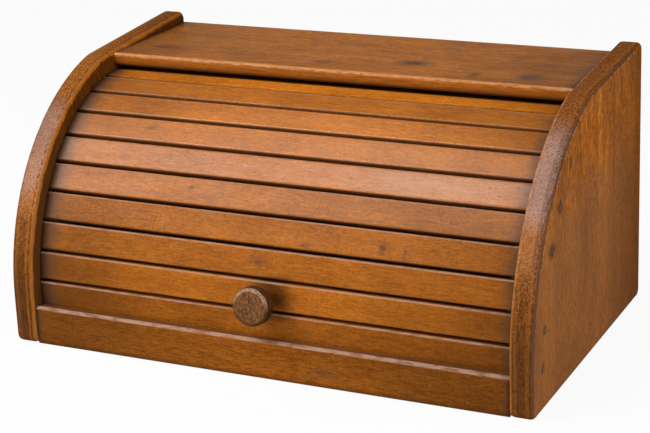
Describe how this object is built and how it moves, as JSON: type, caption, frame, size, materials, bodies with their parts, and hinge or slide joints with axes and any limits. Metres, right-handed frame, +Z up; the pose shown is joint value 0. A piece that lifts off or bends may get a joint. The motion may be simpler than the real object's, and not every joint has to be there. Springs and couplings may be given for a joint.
{
  "type": "roll-top bread box",
  "caption": "Wooden bread box with shaped side boards and a sliding tambour of slats that opens by a turned knob.",
  "frame": {"origin": "on the surface the box stands on, midway between the sides and midway between the side boards' front and back", "axes": "+X to the right as seen from the front, the front faces -Y, +Z up"},
  "size_m": [0.4, 0.2543, 0.1975],
  "materials": {
    "left_side": "orange-brown satin varnish, upright grain, worn arrises",
    "right_side": "orange-brown satin varnish, upright grain, worn arrises",
    "top_board": "brown satin varnish, grain from side to side",
    "back_panel": "thin board, lightly varnished",
    "bottom_board": "thin board, lightly varnished",
    "front_rail": "orange-brown satin varnish, worn front edge",
    "runner_left": "plain wood strip",
    "runner_right": "plain wood strip",
    "slat_01": "orange-brown satin varnish, grain along the slat",
    "cloth_01": "glued backing cloth, plain weave",
    "slat_02": "orange-brown satin varnish, grain along the slat",
    "cloth_02": "glued backing cloth, plain weave",
    "knob": "turned, dark weathered end grain",
    "knob_screw": "plain steel",
    "slat_03": "orange-brown satin varnish, grain along the slat",
    "cloth_03": "glued backing cloth, plain weave",
    "slat_04": "orange-brown satin varnish, grain along the slat",
    "cloth_04": "glued backing cloth, plain weave",
    "slat_05": "orange-brown satin varnish, grain along the slat",
    "cloth_05": "glued backing cloth, plain weave",
    "slat_06": "orange-brown satin varnish, grain along the slat",
    "cloth_06": "glued backing cloth, plain weave",
    "slat_07": "orange-brown satin varnish, grain along the slat",
    "cloth_07": "glued backing cloth, plain weave",
    "slat_08": "orange-brown satin varnish, grain along the slat",
    "cloth_08": "glued backing cloth, plain weave",
    "slat_09": "orange-brown satin varnish, grain along the slat",
    "cloth_09": "glued backing cloth, plain weave",
    "slat_10": "orange-brown satin varnish, grain along the slat",
    "cloth_10": "glued backing cloth, plain weave",
    "slat_11": "orange-brown satin varnish, grain along the slat",
    "cloth_11": "glued backing cloth, plain weave"
  },
  "bodies": {
    "cabinet": {"left_side": "left_side", "right_side": "right_side", "top_board": "top_board", "back_panel": "back_panel", "bottom_board": "bottom_board", "front_rail": "front_rail", "runner_left": "runner_left", "runner_right": "runner_right"},
    "tambour_01": {"slat_01": "slat_01", "cloth_01": "cloth_01"},
    "tambour_02": {"slat_02": "slat_02", "cloth_02": "cloth_02", "knob": "knob", "knob_screw": "knob_screw"},
    "tambour_03": {"slat_03": "slat_03", "cloth_03": "cloth_03"},
    "tambour_04": {"slat_04": "slat_04", "cloth_04": "cloth_04"},
    "tambour_05": {"slat_05": "slat_05", "cloth_05": "cloth_05"},
    "tambour_06": {"slat_06": "slat_06", "cloth_06": "cloth_06"},
    "tambour_07": {"slat_07": "slat_07", "cloth_07": "cloth_07"},
    "tambour_08": {"slat_08": "slat_08", "cloth_08": "cloth_08"},
    "tambour_09": {"slat_09": "slat_09", "cloth_09": "cloth_09"},
    "tambour_10": {"slat_10": "slat_10", "cloth_10": "cloth_10"},
    "tambour_11": {"slat_11": "slat_11", "cloth_11": "cloth_11"}
  },
  "joints": [
    {"name": "slat_01_swing", "type": "hinge", "parent": "cabinet", "child": "tambour_01", "pos_m": [0, 0.03167, 0.03706], "axis": [-1, 0, 0], "range_deg": [0, 68.28]},
    {"name": "slat_02_swing", "type": "hinge", "parent": "cabinet", "child": "tambour_02", "pos_m": [0, 0.02741, 0.03968], "axis": [-1, 0, 0], "range_deg": [0, 70.76]},
    {"name": "slat_03_swing", "type": "hinge", "parent": "cabinet", "child": "tambour_03", "pos_m": [0, 0.0231, 0.04367], "axis": [-1, 0, 0], "range_deg": [0, 73.91]},
    {"name": "slat_04_swing", "type": "hinge", "parent": "cabinet", "child": "tambour_04", "pos_m": [0, 0.0192, 0.04886], "axis": [-1, 0, 0], "range_deg": [0, 77.7]},
    {"name": "slat_05_swing", "type": "hinge", "parent": "cabinet", "child": "tambour_05", "pos_m": [0, 0.01598, 0.05525], "axis": [-1, 0, 0], "range_deg": [0, 82.34]},
    {"name": "slat_06_swing", "type": "hinge", "parent": "cabinet", "child": "tambour_06", "pos_m": [0, 0.01409, 0.06175], "axis": [-1, 0, 0], "range_deg": [0, 87.25]},
    {"name": "slat_07_swing", "type": "hinge", "parent": "cabinet", "child": "tambour_07", "pos_m": [0, 0.01352, 0.06811], "axis": [-1, 0, 0], "range_deg": [0, 92.43]},
    {"name": "slat_08_swing", "type": "hinge", "parent": "cabinet", "child": "tambour_08", "pos_m": [0, 0.01421, 0.07361], "axis": [-1, 0, 0], "range_deg": [0, 97.38]},
    {"name": "slat_09_swing", "type": "hinge", "parent": "cabinet", "child": "tambour_09", "pos_m": [0, 0.01599, 0.07859], "axis": [-1, 0, 0], "range_deg": [0, 102.59]},
    {"name": "slat_10_swing", "type": "hinge", "parent": "cabinet", "child": "tambour_10", "pos_m": [0, 0.01853, 0.08245], "axis": [-1, 0, 0], "range_deg": [0, 107.55]},
    {"name": "slat_11_swing", "type": "hinge", "parent": "cabinet", "child": "tambour_11", "pos_m": [0, 0.02181, 0.0855], "axis": [-1, 0, 0], "range_deg": [0, 112.8]}
  ],
  "couplings": [
    {"joint": "slat_01_swing", "follows": "slat_02_swing", "ratio": 0.96476},
    {"joint": "slat_03_swing", "follows": "slat_02_swing", "ratio": 1.0444},
    {"joint": "slat_04_swing", "follows": "slat_02_swing", "ratio": 1.0978},
    {"joint": "slat_05_swing", "follows": "slat_02_swing", "ratio": 1.1634},
    {"joint": "slat_06_swing", "follows": "slat_02_swing", "ratio": 1.2329},
    {"joint": "slat_07_swing", "follows": "slat_02_swing", "ratio": 1.306},
    {"joint": "slat_08_swing", "follows": "slat_02_swing", "ratio": 1.376},
    {"joint": "slat_09_swing", "follows": "slat_02_swing", "ratio": 1.4496},
    {"joint": "slat_10_swing", "follows": "slat_02_swing", "ratio": 1.5198},
    {"joint": "slat_11_swing", "follows": "slat_02_swing", "ratio": 1.594}
  ]
}
